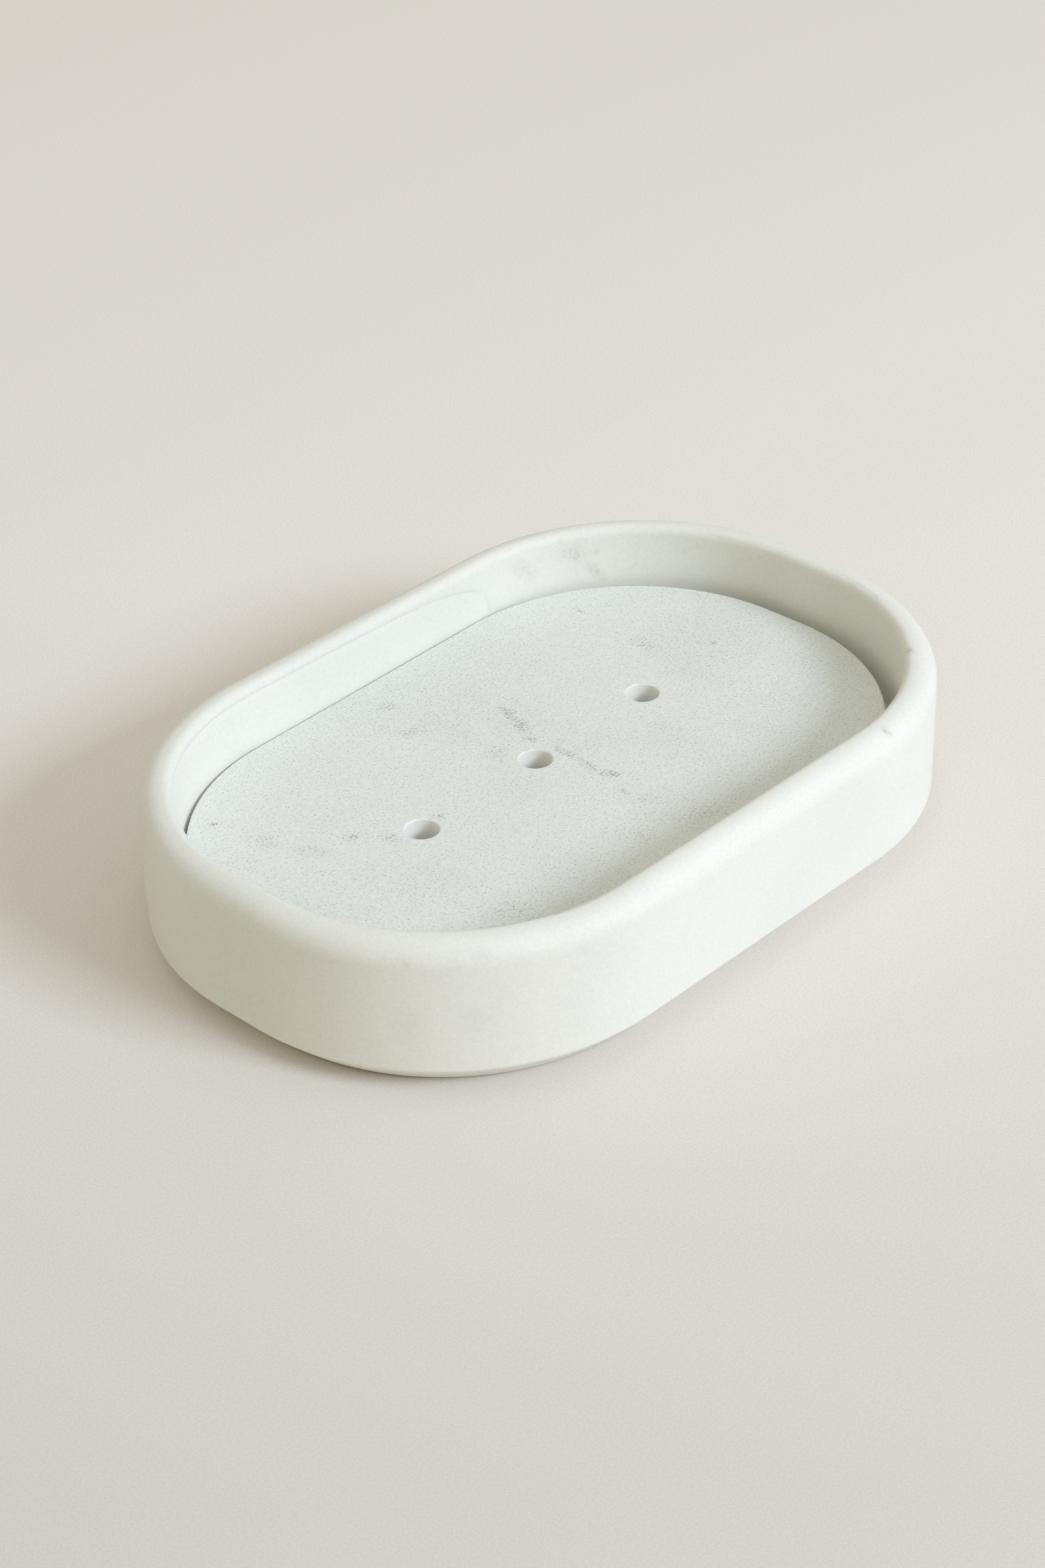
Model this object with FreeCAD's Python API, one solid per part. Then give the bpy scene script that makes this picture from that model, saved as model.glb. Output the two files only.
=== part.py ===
import FreeCAD, Part
import os

# Stone soap dish: a one-piece tray with a stepped pocket, a loose drain plate that rests on the step,
# and four soft feet set into the underside.
# Millimetres. Origin under the middle of the dish, on the surface that it stands on. X runs along the
# length, Y across it, +Z up.

# Tray, outside
tray_length = 150.0
tray_width = 100.0
tray_height = 28.8          # from the stone underside to the rim
corner_radius = 45.0        # plan radius of the four corners
base_chamfer = 4.5          # bevel round the foot of the wall
base_edge_ease = 0.8        # softening of the two edges of that bevel

# Tray, inside
wall_thickness = 5.8
rim_outer_round = 4.0       # the rim rolls over softly to the outside
rim_inner_round = 1.5       # and more tightly into the pocket
rim_land = 0.2              # flat that is left on top of the rim
floor_thickness = 5.3
sump_depth = 5.0            # water space below the drain plate
sump_cove = 3.0             # round where the sump floor meets its side
ledge_width = 6.0           # step that carries the drain plate
ledge_ease = 0.5            # softened inner edge of the step

# Drain plate
plate_thickness = 7.0
plate_gap_left = 0.85       # the plate lies loose, nearer to the left end and the back
plate_gap_right = 2.15
plate_gap_back = 0.95
plate_gap_front = 1.55
plate_turn = 1.2            # degrees that it lies askew, anticlockwise from above
plate_arris = 0.4           # eased edges, top and bottom

# Drain holes, in one row along the plate
hole_count = 3
hole_pitch = 28.9
hole_row_shift = 0.7        # the row lies this far right of the middle of the plate
hole_row_offset = 2.7       # and this far behind it
hole_diameter = 6.0
hole_top_round = 0.3
hole_bottom_round = 0.3

# Feet
foot_diameter = 12.0
foot_thickness = 1.5
foot_recess_depth = 1.3     # so the dish stands only a hair clear of the surface
foot_recess_clearance = 0.3  # gap all round the foot in its recess
foot_edge_round = 0.3
foot_from_end = 30.0         # from the end of the tray to the middle of a foot
foot_from_side = 25.0        # from the side of the tray to the middle of a foot

# Cutters pass the faces they open by this much, and points closer than the tolerance count as one
overcut = 1.0
tolerance = 1e-4

# Heights that follow
base_z = foot_thickness - foot_recess_depth
rim_z = base_z + tray_height
sump_z = base_z + floor_thickness
ledge_z = sump_z + sump_depth
plate_z = ledge_z + plate_thickness

vector = FreeCAD.Vector


def rounded_outline(length, width, radius, z, centre=(0.0, 0.0)):
    """Closed wire of a rectangle with round corners; a radius over half the width gives round ends."""
    radius = min(radius, length / 2.0, width / 2.0)
    reach_x = length / 2.0 - radius
    reach_y = width / 2.0 - radius
    corners = [
        (reach_x, reach_y, 0),
        (-reach_x, reach_y, 90),
        (-reach_x, -reach_y, 180),
        (reach_x, -reach_y, 270),
    ]

    arcs = []
    for corner_x, corner_y, start in corners:
        middle = vector(centre[0] + corner_x, centre[1] + corner_y, z)
        turn = [FreeCAD.Rotation(vector(0, 0, 1), start + step) for step in (0, 45, 90)]
        arcs.append([middle + rotation.multVec(vector(radius, 0, 0)) for rotation in turn])

    edges = []
    for arc, following in zip(arcs, arcs[1:] + arcs[:1]):
        edges.append(Part.Arc(*arc).toShape())
        if arc[2].distanceToPoint(following[0]) > tolerance:
            edges.append(Part.makeLine(arc[2], following[0]))
    return Part.Wire(edges)


def tray_outline(inset, z):
    """The tray's outline moved inwards by inset, so every wall runs parallel to the outside."""
    length = tray_length - 2.0 * inset
    width = tray_width - 2.0 * inset
    radius = min(corner_radius, tray_length / 2.0, tray_width / 2.0) - inset
    return rounded_outline(length, width, radius, z)


def prism(wire, height):
    return Part.Face(wire).extrude(vector(0, 0, height))


def lies_at(shape, z):
    return max(abs(shape.BoundBox.ZMin - z), abs(shape.BoundBox.ZMax - z)) < tolerance


def face_at(shape, z):
    """The largest flat face of the shape that lies at height z."""
    return max((face for face in shape.Faces if lies_at(face, z)), key=lambda face: face.Area)


def outer_edges(shape, z):
    return face_at(shape, z).OuterWire.Edges


def inner_edges(shape, z):
    face = face_at(shape, z)
    outside = face.OuterWire
    return [edge for wire in face.Wires if not wire.isSame(outside) for edge in wire.Edges]


def level_edges(shape, z):
    return [edge for edge in shape.Edges if lies_at(edge, z)]


def foot_places():
    """Name and centre of each foot, seen from the front of the dish."""
    x = tray_length / 2.0 - foot_from_end
    y = tray_width / 2.0 - foot_from_side
    return {
        "foot_front_left": (-x, -y),
        "foot_front_right": (x, -y),
        "foot_back_left": (-x, y),
        "foot_back_right": (x, y),
    }


def hole_places():
    """Centres of the drain holes in the plate, before it is turned askew."""
    centre_x, centre_y = plate_centre()
    first = centre_x + hole_row_shift - hole_pitch * (hole_count - 1) / 2.0
    return [(first + hole_pitch * i, centre_y + hole_row_offset) for i in range(hole_count)]


def plate_centre():
    return (plate_gap_left - plate_gap_right) / 2.0, (plate_gap_front - plate_gap_back) / 2.0


def make_tray():
    body = prism(tray_outline(0.0, base_z), tray_height)
    body = body.makeChamfer(base_chamfer, outer_edges(body, base_z))
    bevel = level_edges(body, base_z) + level_edges(body, base_z + base_chamfer)
    body = body.makeFillet(base_edge_ease, bevel)

    sump = prism(tray_outline(wall_thickness + ledge_width, sump_z), sump_depth + overcut)
    sump = sump.makeFillet(sump_cove, outer_edges(sump, sump_z))
    pocket = prism(tray_outline(wall_thickness, ledge_z), rim_z - ledge_z + overcut)
    body = body.cut(sump).cut(pocket)
    body = body.makeFillet(ledge_ease, inner_edges(body, ledge_z))

    # both rounds of the rim have to fit on the wall
    fit = min(1.0, (wall_thickness - rim_land) / (rim_outer_round + rim_inner_round))
    body = body.makeFillet(rim_outer_round * fit, outer_edges(body, rim_z))
    body = body.makeFillet(rim_inner_round * fit, inner_edges(body, rim_z))

    recess_radius = foot_diameter / 2.0 + foot_recess_clearance
    for x, y in foot_places().values():
        start = vector(x, y, base_z - overcut)
        body = body.cut(Part.makeCylinder(recess_radius, foot_recess_depth + overcut, start))
    return body


def make_drain_plate():
    length = tray_length - 2.0 * wall_thickness - plate_gap_left - plate_gap_right
    width = tray_width - 2.0 * wall_thickness - plate_gap_front - plate_gap_back
    outline = rounded_outline(length, width, corner_radius - wall_thickness, ledge_z, plate_centre())
    plate = prism(outline, plate_thickness)
    plate = plate.makeFillet(plate_arris, outer_edges(plate, ledge_z) + outer_edges(plate, plate_z))
    for x, y in hole_places():
        start = vector(x, y, ledge_z - overcut)
        plate = plate.cut(Part.makeCylinder(hole_diameter / 2.0, plate_thickness + 2.0 * overcut, start))
    plate = plate.makeFillet(hole_top_round, inner_edges(plate, plate_z))
    plate = plate.makeFillet(hole_bottom_round, inner_edges(plate, ledge_z))
    plate.rotate(vector(*plate_centre(), 0.0), vector(0, 0, 1), plate_turn)
    return plate


def make_foot(x, y):
    foot = Part.makeCylinder(foot_diameter / 2.0, foot_thickness, vector(x, y, 0.0))
    return foot.makeFillet(foot_edge_round, level_edges(foot, 0.0))


os.makedirs("parts", exist_ok=True)
nodes = {"tray": make_tray(), "drain_plate": make_drain_plate()}
for name, place in foot_places().items():
    nodes[name] = make_foot(*place)
for name, shape in nodes.items():
    print(name, "solids:", len(shape.Solids), "valid:", shape.isValid(), "mm3:", round(shape.Volume))
    shape.exportStep("parts/" + name + ".step")
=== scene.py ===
import bpy
import math
from mathutils import Matrix, Vector


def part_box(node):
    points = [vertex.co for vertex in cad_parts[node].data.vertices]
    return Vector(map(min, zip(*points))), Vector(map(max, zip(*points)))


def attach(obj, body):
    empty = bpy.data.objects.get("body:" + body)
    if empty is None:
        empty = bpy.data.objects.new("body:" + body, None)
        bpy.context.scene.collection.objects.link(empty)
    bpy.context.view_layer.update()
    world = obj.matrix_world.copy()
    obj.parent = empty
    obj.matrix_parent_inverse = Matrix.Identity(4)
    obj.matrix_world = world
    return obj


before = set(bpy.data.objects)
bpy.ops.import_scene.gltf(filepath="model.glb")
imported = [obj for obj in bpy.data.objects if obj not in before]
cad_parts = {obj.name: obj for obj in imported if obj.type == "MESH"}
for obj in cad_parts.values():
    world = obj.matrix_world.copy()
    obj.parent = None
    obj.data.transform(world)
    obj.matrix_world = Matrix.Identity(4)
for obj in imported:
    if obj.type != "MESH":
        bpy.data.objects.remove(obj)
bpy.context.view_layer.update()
print("frame loaded:", ", ".join(sorted(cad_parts)))

mm = 0.001
noiseMiddle = 0.5       # a noise texture swings about this
noiseSwing = 0.25       # and seldom strays further from it than this
mixShare, mixFirst, mixSecond, mixResult = 0, 6, 7, 2   # sockets of a Mix node that mixes colours


def linearColour(hexText):
    # sRGB hex to the linear colour that the shaders work in
    shares = [int(hexText[i:i + 2], 16) / 255 for i in (1, 3, 5)]
    return tuple(c / 12.92 if c <= 0.04045 else ((c + 0.055) / 1.055) ** 2.4 for c in shares) + (1.0,)


def addNode(tree, kind, inputs=None, **settings):
    node = tree.nodes.new("ShaderNode" + kind)
    for name, value in settings.items():
        setattr(node, name, value)
    for socket, value in (inputs or {}).items():
        if isinstance(value, bpy.types.NodeSocket):
            tree.links.new(value, node.inputs[socket])
        else:
            node.inputs[socket].default_value = value
    return node


def newMaterial(name):
    material = bpy.data.materials.new(name)
    material.use_nodes = True
    material.node_tree.nodes.clear()
    return material, material.node_tree


def addObject(name, data):
    item = bpy.data.objects.new(name, data)
    bpy.context.scene.collection.objects.link(item)
    return item


# honed white marble: calcite ground flat but not polished. The eye gets a matte sheen, a little light going
# into the stone at its edges, fine grey grains and a few broken veins where the grains crowd together
marbleBasics = {
    "ior": 1.5,
    "gloss": 0.3,                   # honed stone is finely pitted, so it shines less than polished stone
    "roughness": (0.52, 0.64),      # least and most, from grain to grain
    "sheenRange": (0.3, 0.7),       # levels of the grain pattern that these stand for
    "glowShare": 0.35,              # share of the light that enters the stone
    "glowReach": 1.8 * mm,
    "glowColour": (1.0, 0.8, 0.6),  # red goes deepest
    "wanderSize": 4 * mm,           # bends of a vein, and how far they push it
    "wanderReach": 1.0 * mm,
    "wanderDetail": 5.0,
    "wanderRoughness": 0.65,
    "veinFade": 1.6,                # a vein thins out to nothing at this many half widths
    "veinDepth": 1.2,               # grains in a vein are darker by this share
    "cloudDetail": 3.0,
    "cloudRange": (0.4, 0.7),       # levels of its pattern at which a cloud starts and is full
    "cloudPull": 0.02,              # how far a cloud lowers the level at which grains show
    "grainDetail": 2.0,
    "grainRoughness": 0.6,
    "mottleDetail": 1.0,
    "mottleRange": (0.35, 0.65),
    "paintedSideLightRange": (0.3, 0.9),         # upward part of the normal: painted side light in full below this, none on the top above
    "bumpStrength": 0.5,
    "bumpDepth": 0.006 * mm,
}

# grains of white marble are about 0.2 mm across: grains and mottle are drawn coarser, so that they show
trayStone = {
    "colour": "#F0F0E8",
    "cloudColour": "#E7E9E1",
    "grainColour": "#A3A298",
    "cloudSize": 26 * mm,
    "cloudShare": 0.45,
    "mottleSize": 0.55 * mm,
    "mottleShare": 0.07,
    "grainSize": 0.8 * mm,
    "grainStart": 0.64,             # dark grains show where the pattern rises over this
    "grainFull": 0.9,
    "grainShare": 0.24,
    "veinPull": 0.24,               # how far a vein lowers that start
    "mistShare": 0.22,              # grey haze along a vein
    # veins: start, end and half width in mm, strength
    "veins": [
        ((57.9, -33.4, 28.7), (56.2, -36.0, 29.0), 0.8, 1.3),
        ((33.9, -46.9, 28.8), (33.7, -48.8, 27.7), 0.8, 1.2),
        ((47.0, 40.3, 27.0), (51.4, 37.8, 22.0), 2.4, 0.6),
        ((51.0, 38.0, 22.5), (54.2, 35.8, 18.2), 1.4, 0.8),
        ((37.5, 43.5, 25.3), (41.6, 42.4, 22.0), 1.8, 0.5),
        ((40.0, 42.9, 24.8), (41.0, 42.6, 19.8), 1.4, 0.45),
        ((52.6, 36.9, 25.0), (53.1, 36.7, 24.0), 0.8, 0.7),
        ((-67.2, -30.2, 16.0), (-65.8, -32.2, 11.6), 2.6, 0.3),
        ((-58.4, -38.4, 28.0), (-57.2, -40.4, 26.5), 1.2, 0.45),
        ((-58.9, -39.4, 17.0), (-58.3, -39.9, 11.4), 2.4, 0.25),
        ((-66.8, -30.4, 26.8), (-65.9, -31.9, 25.8), 1.0, 0.4),
    ],
}

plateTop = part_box("drain_plate")[1][2] / mm     # the plate's veins lie at its top
plateStone = {
    "colour": "#EEF0EA",
    "cloudColour": "#E5E8E3",
    "grainColour": "#8B8C85",
    "paintedSideLightColour": "#F8F7F0",         # painted light: the sides and hole walls are painted whiter than the top, standing in for light on them
    "paintedSideLightShare": 0.8,
    "cloudSize": 24 * mm,
    "cloudShare": 0.4,
    "mottleSize": 0.4 * mm,
    "mottleShare": 0.11,
    "grainSize": 0.45 * mm,
    "grainStart": 0.54,
    "grainFull": 0.8,
    "grainShare": 0.58,
    "veinPull": 0.13,
    "mistShare": 0.07,
    "veins": [
        ((8.5, 19.6, plateTop), (7.2, 14.4, plateTop), 1.0, 0.9),
        ((7.2, 14.6, plateTop), (5.0, 10.0, plateTop), 1.1, 1.0),
        ((5.0, 10.2, plateTop), (3.9, 7.2, plateTop), 1.0, 0.8),
        ((5.0, 2.8, plateTop), (4.8, -3.2, plateTop), 0.9, 0.95),
        ((4.8, -3.0, plateTop), (4.3, -9.0, plateTop), 0.9, 0.9),
        ((4.4, -8.8, plateTop), (5.6, -11.6, plateTop), 1.0, 0.9),
        ((2.9, -14.6, plateTop), (2.4, -16.0, plateTop), 0.9, 0.9),
        ((3.6, -18.0, plateTop), (3.4, -22.6, plateTop), 1.0, 0.5),
        ((-3.0, 10.6, plateTop), (-4.4, 7.8, plateTop), 1.6, 0.45),
        ((-49.6, 21.8, plateTop), (-48.8, 17.0, plateTop), 1.8, 0.5),
        ((-47.6, 14.6, plateTop), (-44.8, 8.6, plateTop), 1.6, 0.45),
        ((-40.0, 9.8, plateTop), (-37.6, 8.8, plateTop), 1.0, 0.8),
        ((-34.8, 5.6, plateTop), (-34.0, 3.2, plateTop), 1.2, 0.7),
        ((-24.6, 3.6, plateTop), (-23.8, 2.2, plateTop), 0.9, 0.8),
        ((-51.6, 30.4, plateTop), (-50.9, 29.2, plateTop), 0.9, 1.0),
        ((-6.0, 36.4, plateTop), (-3.6, 33.0, plateTop), 1.2, 0.5),
        ((-9.2, 27.6, plateTop), (-6.4, 23.8, plateTop), 1.4, 0.5),
        ((42.2, 17.6, plateTop), (41.2, 11.8, plateTop), 1.2, 0.55),
        ((43.4, 32.4, plateTop), (42.8, 31.4, plateTop), 0.8, 0.8),
        ((-38.4, -23.8, plateTop), (-33.6, -26.6, plateTop), 2.4, 0.3),
        ((-8.0, -26.2, plateTop), (-4.6, -28.0, plateTop), 1.8, 0.35),
        ((5.0, -29.6, plateTop), (9.4, -31.2, plateTop), 2.0, 0.35),
        ((50.4, 5.8, plateTop), (50.9, 5.3, plateTop), 0.6, 1.2),
    ],
}


def honedMarble(name, stone, glowShare):
    material, tree = newMaterial(name)
    basics = marbleBasics
    coordinates = addNode(tree, "TexCoord")
    place = coordinates.outputs["Object"]

    # veins wander, so the place is pushed about before they are looked up
    bends = addNode(tree, "TexNoise", {
        "Vector": place, "Scale": 1 / basics["wanderSize"],
        "Detail": basics["wanderDetail"], "Roughness": basics["wanderRoughness"],
    })
    centred = addNode(tree, "VectorMath", {
        0: bends.outputs["Color"], 1: [noiseMiddle] * 3,
    }, operation="SUBTRACT")
    bent = addNode(tree, "VectorMath", {
        0: centred.outputs[0], 1: [basics["wanderReach"] / noiseSwing] * 3, 2: place,
    }, operation="MULTIPLY_ADD").outputs[0]

    veins = 0.0
    for start, end, halfWidth, strength in stone["veins"]:
        start, end, halfWidth = Vector(start) * mm, Vector(end) * mm, halfWidth * mm
        along = end - start
        faded = halfWidth * basics["veinFade"]
        local = addNode(tree, "Mapping", {
            "Vector": bent,
            "Location": (start + end) / 2,
            "Rotation": along.to_track_quat("X", "Z").to_euler(),
            "Scale": (along.length / 2 + halfWidth, faded, faded),
        }, vector_type="TEXTURE")
        blob = addNode(tree, "TexGradient", {"Vector": local.outputs[0]}, gradient_type="SPHERICAL")
        level = addNode(tree, "Math", {0: blob.outputs["Fac"], 1: strength}, operation="MULTIPLY")
        veins = addNode(tree, "Math", {0: veins, 1: level.outputs[0]}, operation="MAXIMUM").outputs[0]

    # slow drift between white and a slightly greyer white
    drift = addNode(tree, "TexNoise", {
        "Vector": bent, "Scale": 1 / stone["cloudSize"], "Detail": basics["cloudDetail"],
    })
    clouds = addNode(tree, "MapRange", {
        "Value": drift.outputs[0], "From Min": basics["cloudRange"][0], "From Max": basics["cloudRange"][1],
    }, interpolation_type="SMOOTHSTEP").outputs[0]

    # calcite grains, which crowd together and are darker in veins
    grains = addNode(tree, "TexNoise", {
        "Vector": place, "Scale": 1 / stone["grainSize"],
        "Detail": basics["grainDetail"], "Roughness": basics["grainRoughness"],
    }).outputs[0]
    crowding = grains
    for pattern, pull in ((veins, stone["veinPull"]), (clouds, basics["cloudPull"])):
        crowding = addNode(tree, "Math", {
            0: pattern, 1: pull, 2: crowding,
        }, operation="MULTIPLY_ADD").outputs[0]
    specks = addNode(tree, "MapRange", {
        "Value": crowding, "From Min": stone["grainStart"], "From Max": stone["grainFull"],
        "To Max": stone["grainShare"],
    })
    darker = addNode(tree, "Math", {0: veins, 1: basics["veinDepth"], 2: 1.0}, operation="MULTIPLY_ADD")
    speckLevel = addNode(tree, "Math", {
        0: specks.outputs[0], 1: darker.outputs[0],
    }, operation="MULTIPLY", use_clamp=True)

    # and a fine mottle between them
    crystals = addNode(tree, "TexNoise", {
        "Vector": place, "Scale": 1 / stone["mottleSize"], "Detail": basics["mottleDetail"],
    })
    mottle = addNode(tree, "MapRange", {
        "Value": crystals.outputs[0],
        "From Min": basics["mottleRange"][0], "From Max": basics["mottleRange"][1],
        "To Max": stone["mottleShare"],
    })

    cloudLevel = addNode(tree, "Math", {0: clouds, 1: stone["cloudShare"]}, operation="MULTIPLY")
    mistLevel = addNode(tree, "Math", {
        0: veins, 1: stone["mistShare"], 2: mottle.outputs[0],
    }, operation="MULTIPLY_ADD")
    layers = [("cloudColour", cloudLevel), ("grainColour", mistLevel), ("grainColour", speckLevel)]
    # painted light: faces turned away from straight up, the sides and hole walls, are painted whiter
    if "paintedSideLightColour" in stone:
        facing = addNode(tree, "SeparateXYZ", {0: coordinates.outputs["Normal"]})
        paintedSideLightLevel = addNode(tree, "MapRange", {
            "Value": facing.outputs["Z"],
            "From Min": basics["paintedSideLightRange"][0], "From Max": basics["paintedSideLightRange"][1],
            "To Min": stone["paintedSideLightShare"], "To Max": 0.0,
        })
        layers.append(("paintedSideLightColour", paintedSideLightLevel))
    surface = linearColour(stone["colour"])
    for colour, level in layers:
        surface = addNode(tree, "Mix", {
            mixShare: level.outputs[0], mixFirst: surface, mixSecond: linearColour(stone[colour]),
        }, data_type="RGBA").outputs[mixResult]

    sheen = addNode(tree, "MapRange", {
        "Value": grains, "From Min": basics["sheenRange"][0], "From Max": basics["sheenRange"][1],
        "To Min": basics["roughness"][0], "To Max": basics["roughness"][1],
    })
    bump = addNode(tree, "Bump", {
        "Height": grains, "Strength": basics["bumpStrength"], "Distance": basics["bumpDepth"],
    })
    shader = addNode(tree, "BsdfPrincipled", {
        "Base Color": surface,
        "Roughness": sheen.outputs[0],
        "IOR": basics["ior"],
        "Specular IOR Level": basics["gloss"],
        "Subsurface Weight": glowShare,
        "Subsurface Radius": basics["glowColour"],
        "Subsurface Scale": basics["glowReach"],
        "Normal": bump.outputs[0],
    })
    addNode(tree, "OutputMaterial", {"Surface": shader.outputs[0]})
    return material


# moulded silicone: the eye gets a milky, soft pad that lets light in, with dust in patches
siliconePad = {
    "colour": "#D9DAD6",
    "dustColour": "#C4C3BC",
    "dustSize": 2.5 * mm,
    "dustDetail": 4.0,
    "dustRange": (0.45, 0.75),      # levels of its pattern at which dust starts and is full
    "dustShare": 0.6,
    "ior": 1.41,
    "roughness": 0.55,
    "glowShare": 0.4,
    "glowReach": 1.0 * mm,
    "glowColour": (1.0, 0.95, 0.9),
    "bumpStrength": 0.3,
    "bumpDepth": 0.05 * mm,
}


def mouldedSilicone(name, pad):
    material, tree = newMaterial(name)
    place = addNode(tree, "TexCoord").outputs["Object"]
    dust = addNode(tree, "TexNoise", {
        "Vector": place, "Scale": 1 / pad["dustSize"], "Detail": pad["dustDetail"],
    })
    dustLevel = addNode(tree, "MapRange", {
        "Value": dust.outputs[0], "From Min": pad["dustRange"][0], "From Max": pad["dustRange"][1],
        "To Max": pad["dustShare"],
    })
    colour = addNode(tree, "Mix", {
        mixShare: dustLevel.outputs[0],
        mixFirst: linearColour(pad["colour"]), mixSecond: linearColour(pad["dustColour"]),
    }, data_type="RGBA")
    bump = addNode(tree, "Bump", {
        "Height": dust.outputs[0], "Strength": pad["bumpStrength"], "Distance": pad["bumpDepth"],
    })
    shader = addNode(tree, "BsdfPrincipled", {
        "Base Color": colour.outputs[mixResult],
        "Roughness": pad["roughness"],
        "IOR": pad["ior"],
        "Subsurface Weight": pad["glowShare"],
        "Subsurface Radius": pad["glowColour"],
        "Subsurface Scale": pad["glowReach"],
        "Normal": bump.outputs[0],
    })
    addNode(tree, "OutputMaterial", {"Surface": shader.outputs[0]})
    return material


finishes = {
    "tray": honedMarble("honedTrayMarble", trayStone, marbleBasics["glowShare"]),
    "drain_plate": honedMarble("honedPlateMarble", plateStone, marbleBasics["glowShare"]),
    # the tray's stone for a skin that lies on it: no light enters it, or its hidden side would swallow some
    "skin": honedMarble("honedSkinMarble", trayStone, 0.0),
    "foot": mouldedSilicone("milkySilicone", siliconePad),
}
for name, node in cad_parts.items():
    node.data.materials.clear()
    node.data.materials.append(finishes["foot" if name.startswith("foot") else name])
print("stone and pads finished")

# pocket wall: towards the back left corner it leans in to the drain plate, so only a thin gap is left there
pocketLean = {
    "cornerRadius": 45 * mm,            # of the tray's outline
    "wall": 5.8 * mm,                   # thickness of the upright wall that it lies on
    "reach": 1.2 * mm,                  # how far it leans in at most
    "side": 132.0,                      # degrees seen from above: most here, none a quarter turn away
    "foot": 10.3 * mm,                  # heights: upright from foot to full, then back to the wall at end
    "full": 16 * mm,
    "end": 27.6 * mm,
    "sunk": 0.03 * mm,                  # where it doesn't lean, it lies under the wall's face by this much
    "crest": (1.0 * mm, 28.2 * mm),     # its hidden side is inside the wall: crest's depth and height
    "back": 3.5 * mm,                   # and depth of its back
    "steps": 36,                        # along each stretch of the wall
    "rows": 6,                          # from full to end
}


def pocketWall(lean):
    # points along the upright pocket wall, each with the direction out of the pocket
    low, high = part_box("tray")
    x, y = [(high[i] - low[i]) / 2 - lean["cornerRadius"] for i in (0, 1)]
    radius = lean["cornerRadius"] - lean["wall"]
    # a corner turns about one middle, and a straight goes from one middle to the next
    stretches = (
        ((x, y), (x, y), 60, 90),               # last third of the back right corner
        ((x, y), (-x, y), 90, 90),              # back
        ((-x, y), (-x, y), 90, 180),            # back left corner
        ((-x, -y), (-x, -y), 180, 270),         # front left corner, with a plain short side before it
    )
    wall = []
    for start, end, first, last in stretches:
        for step in range(lean["steps"]):
            share = (step + 0.5) / lean["steps"]
            angle = math.radians(first + (last - first) * share)
            outward = Vector((math.cos(angle), math.sin(angle)))
            middle = Vector(start).lerp(Vector(end), share)
            wall.append((middle + outward * radius, outward))
    return wall


def makePocketLean(lean):
    profile = [(lean["foot"], 1.0)]     # height, and share of the lean there
    for row in range(lean["rows"] + 1):
        share = row / lean["rows"]
        profile.append((lean["full"] + (lean["end"] - lean["full"]) * share, 1 - share))
    crestHeight = lean["crest"][1]
    hidden = [lean["crest"], (lean["back"], crestHeight), (lean["back"], lean["foot"])]     # depth, height
    around = len(profile) + len(hidden)

    points, faces, smooth = [], [], []
    for spot, outward in pocketWall(lean):
        turned = math.cos(math.atan2(spot.y, spot.x) - math.radians(lean["side"]))
        inward = lean["reach"] * max(0.0, turned) ** 2
        for height, share in profile:
            points.append((*(spot - outward * (inward * share - lean["sunk"])), height))
        for depth, height in hidden:
            points.append((*(spot + outward * depth), height))
    for here in range(0, len(points) - around, around):
        there = here + around
        for row in range(around):
            following = (row + 1) % around
            faces.append([here + row, here + following, there + following, there + row])
            smooth.append(row < len(profile) - 1)
    # and its two ends
    faces += [list(range(around))[::-1], list(range(len(points) - around, len(points)))]
    smooth += [False, False]

    mesh = bpy.data.meshes.new("pocketLean")
    mesh.from_pydata(points, [], faces)
    mesh.polygons.foreach_set("use_smooth", smooth)
    mesh.materials.append(finishes["skin"])
    return addObject("pocketLean", mesh)


leanPiece = makePocketLean(pocketLean)
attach(leanPiece, "dish")
print("pocket wall leans in")

# floor: a sheet of matte uncoated paper. The eye gets a dull, pale ground, with painted shade near the
# camera and painted light away from it
paperSheet = {
    "size": 6.0,
    "paintedShadeNearColour": "#E2DCD4",
    "paintedLightFarColour": "#FAF4ED",
    "away": (0.717, 0.697, 0.0),        # direction from near to far, and where on it the painted falloff from shade to light changes
    "near": -160 * mm,
    "far": 100 * mm,
    "fibreColour": "#C6C0B7",
    "fibreSize": 0.4 * mm,              # paper fibres are finer, and are drawn coarser so that they show
    "fibreDetail": 2.0,
    "fibreRange": (0.35, 0.65),
    "fibreShare": 0.28,
    "roughness": 0.75,
}


def mattePaper(name, sheet):
    material, tree = newMaterial(name)
    place = addNode(tree, "TexCoord").outputs["Object"]
    depth = addNode(tree, "VectorMath", {0: place, 1: sheet["away"]}, operation="DOT_PRODUCT")
    # painted light: the ground goes from painted shade near the camera to painted light far from it
    paintedFalloff = addNode(tree, "MapRange", {
        "Value": depth.outputs["Value"], "From Min": sheet["near"], "From Max": sheet["far"],
    })
    ground = addNode(tree, "Mix", {
        mixShare: paintedFalloff.outputs[0],
        mixFirst: linearColour(sheet["paintedShadeNearColour"]), mixSecond: linearColour(sheet["paintedLightFarColour"]),
    }, data_type="RGBA")
    fibres = addNode(tree, "TexNoise", {
        "Vector": place, "Scale": 1 / sheet["fibreSize"], "Detail": sheet["fibreDetail"],
    })
    fibreLevel = addNode(tree, "MapRange", {
        "Value": fibres.outputs[0], "From Min": sheet["fibreRange"][0], "From Max": sheet["fibreRange"][1],
        "To Max": sheet["fibreShare"],
    })
    colour = addNode(tree, "Mix", {
        mixShare: fibreLevel.outputs[0],
        mixFirst: ground.outputs[mixResult], mixSecond: linearColour(sheet["fibreColour"]),
    }, data_type="RGBA")
    shader = addNode(tree, "BsdfPrincipled", {
        "Base Color": colour.outputs[mixResult], "Roughness": sheet["roughness"],
    })
    addNode(tree, "OutputMaterial", {"Surface": shader.outputs[0]})
    return material


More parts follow.
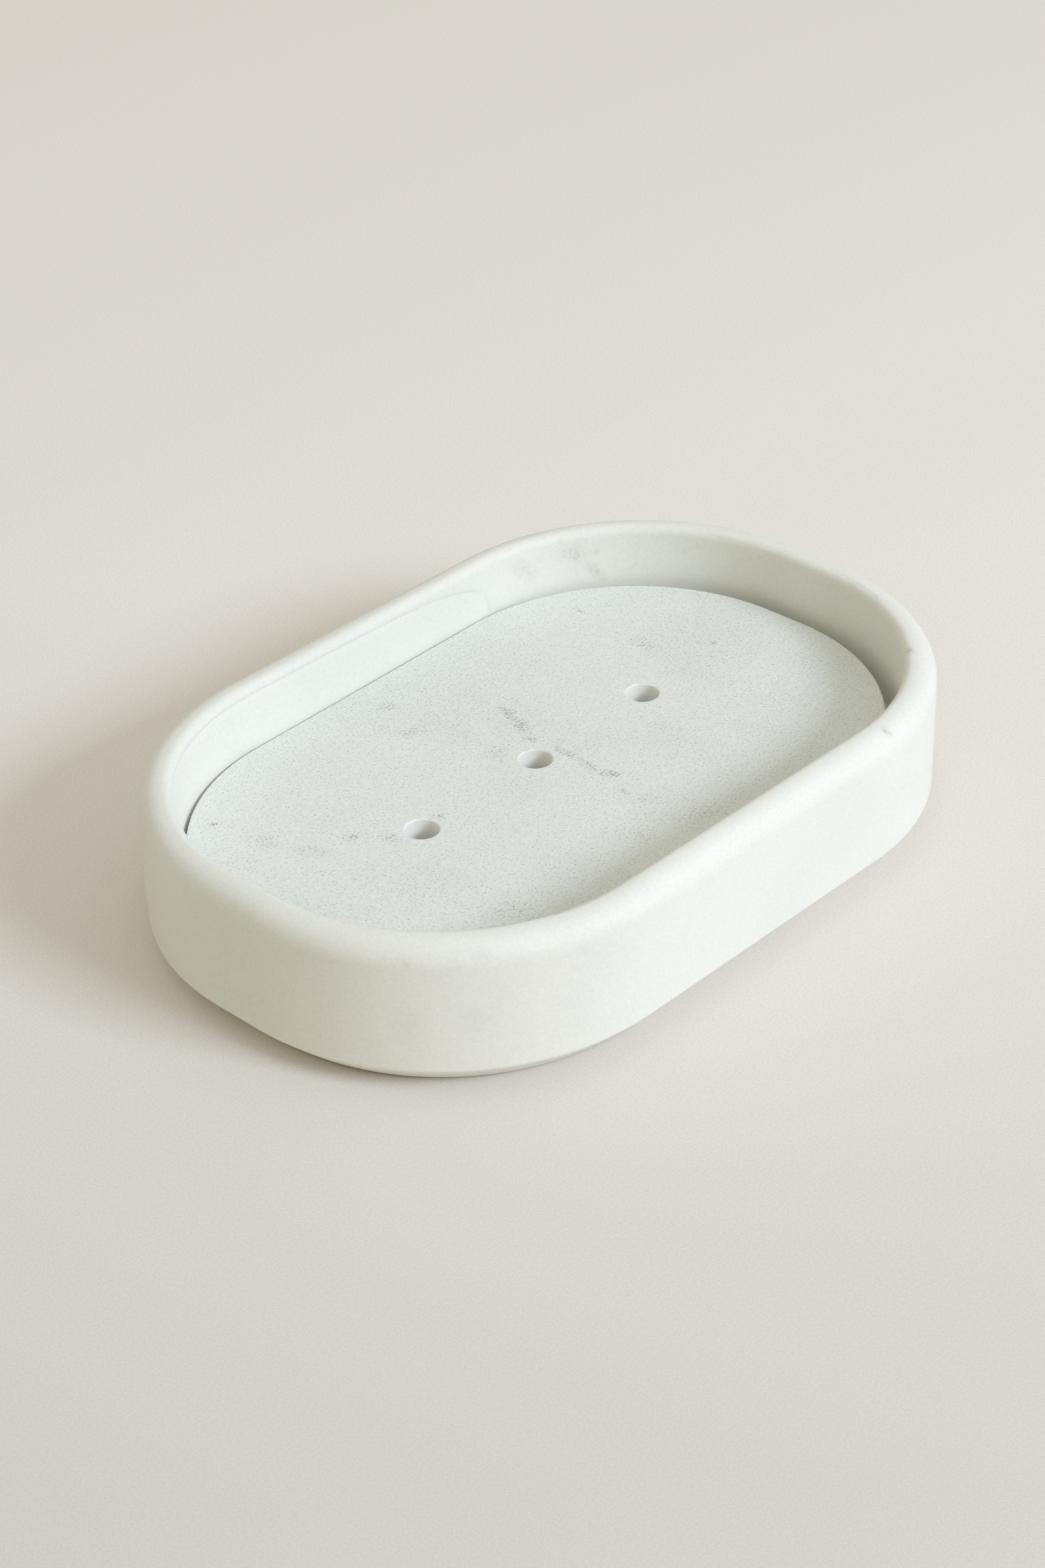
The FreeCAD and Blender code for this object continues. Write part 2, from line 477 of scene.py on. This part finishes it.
half = paperSheet["size"] / 2
floorCorners = [(-half, -half, 0), (half, -half, 0), (half, half, 0), (-half, half, 0)]
floorMesh = bpy.data.meshes.new("floor")
floorMesh.from_pydata(floorCorners, [], [(0, 1, 2, 3)])
floorMesh.materials.append(mattePaper("mattePaper", paperSheet))
floor = addObject("floor", floorMesh)
print("floor laid")

# a broad window to the right of the camera
windowLight = {
    "direction": -80.0,                 # degrees seen from above, and over the horizon
    "height": 31.5,
    "distance": 1.6,
    "wide": 0.6,
    "tall": 0.4,
    "watts": 16.9,
    "colour": "#DFEBFF",
}


def makeWindow(window):
    lamp = bpy.data.lights.new("window", "AREA")
    lamp.shape = "RECTANGLE"
    lamp.size = window["wide"]
    lamp.size_y = window["tall"]
    lamp.energy = window["watts"]
    lamp.color = linearColour(window["colour"])[:3]
    turn, rise = math.radians(window["direction"]), math.radians(window["height"])
    towards = Vector((math.cos(turn) * math.cos(rise), math.sin(turn) * math.cos(rise), math.sin(rise)))
    lampObject = addObject("window", lamp)
    lampObject.location = towards * window["distance"]
    lampObject.rotation_euler = towards.to_track_quat("Z", "Y").to_euler()


# a room that is bright overhead and dim and warm at the horizon, with a plain backdrop behind the object
roomLight = {"overhead": "#E4E7E6", "horizon": "#8C7734", "backdrop": "#E4E1DA"}


def makeRoom(light):
    world = bpy.data.worlds.new("studio")
    world.use_nodes = True
    bpy.context.scene.world = world
    tree = world.node_tree
    tree.nodes.clear()
    ray = addNode(tree, "TexCoord").outputs["Generated"]
    height = addNode(tree, "SeparateXYZ", {0: ray}).outputs["Z"]
    glow = addNode(tree, "Mix", {
        mixShare: height,
        mixFirst: linearColour(light["horizon"]), mixSecond: linearColour(light["overhead"]),
    }, data_type="RGBA")
    room = addNode(tree, "Background", {"Color": glow.outputs[mixResult]})
    backdrop = addNode(tree, "Background", {"Color": linearColour(light["backdrop"])})
    # the camera and reflections see the backdrop, and the room only lights the scene
    path = addNode(tree, "LightPath")
    seen = path.outputs["Is Camera Ray"]
    for kind in ("Is Glossy Ray", "Is Transmission Ray"):
        seen = addNode(tree, "Math", {0: seen, 1: path.outputs[kind]}, operation="MAXIMUM").outputs[0]
    both = addNode(tree, "MixShader", {0: seen, 1: room.outputs[0], 2: backdrop.outputs[0]})
    addNode(tree, "OutputWorld", {"Surface": both.outputs[0]})


makeWindow(windowLight)
makeRoom(roomLight)
print("light set")

# camera, at the photograph's angle
cameraPlace = {
    "azimuth": -45.8496,
    "elevation": 33.0952,
    "roll": -1.5347,
    "distance": 616.334 * mm,
    "target": (11.831 * mm, 17.868 * mm, 0.0),
    "focalPixels": 5055.02,             # focal length in pixels of a picture that is this high
    "imageHeight": 2352,
    "sensor": 36.0,                     # in mm along the picture's height, its longer side
    "nearest": 10 * mm,
}


def makeCamera(view):
    turn, rise, roll = (math.radians(view[name]) for name in ("azimuth", "elevation", "roll"))
    back = Vector((math.sin(turn) * math.cos(rise), -math.cos(turn) * math.cos(rise), math.sin(rise)))
    level = Vector((math.cos(turn), math.sin(turn), 0.0))
    upright = back.cross(level)
    right = math.cos(roll) * level + math.sin(roll) * upright
    up = math.cos(roll) * upright - math.sin(roll) * level
    camera = bpy.data.cameras.new("camera")
    camera.sensor_width = view["sensor"]
    camera.lens = view["focalPixels"] / view["imageHeight"] * view["sensor"]
    camera.clip_start = view["nearest"]
    place = Matrix((right, up, back)).transposed().to_4x4()
    place.translation = Vector(view["target"]) + back * view["distance"]
    cameraObject = addObject("camera", camera)
    cameraObject.matrix_world = place
    return cameraObject


bpy.context.scene.camera = makeCamera(cameraPlace)
print("camera placed")

bpy.context.scene.view_settings.view_transform = "Standard"
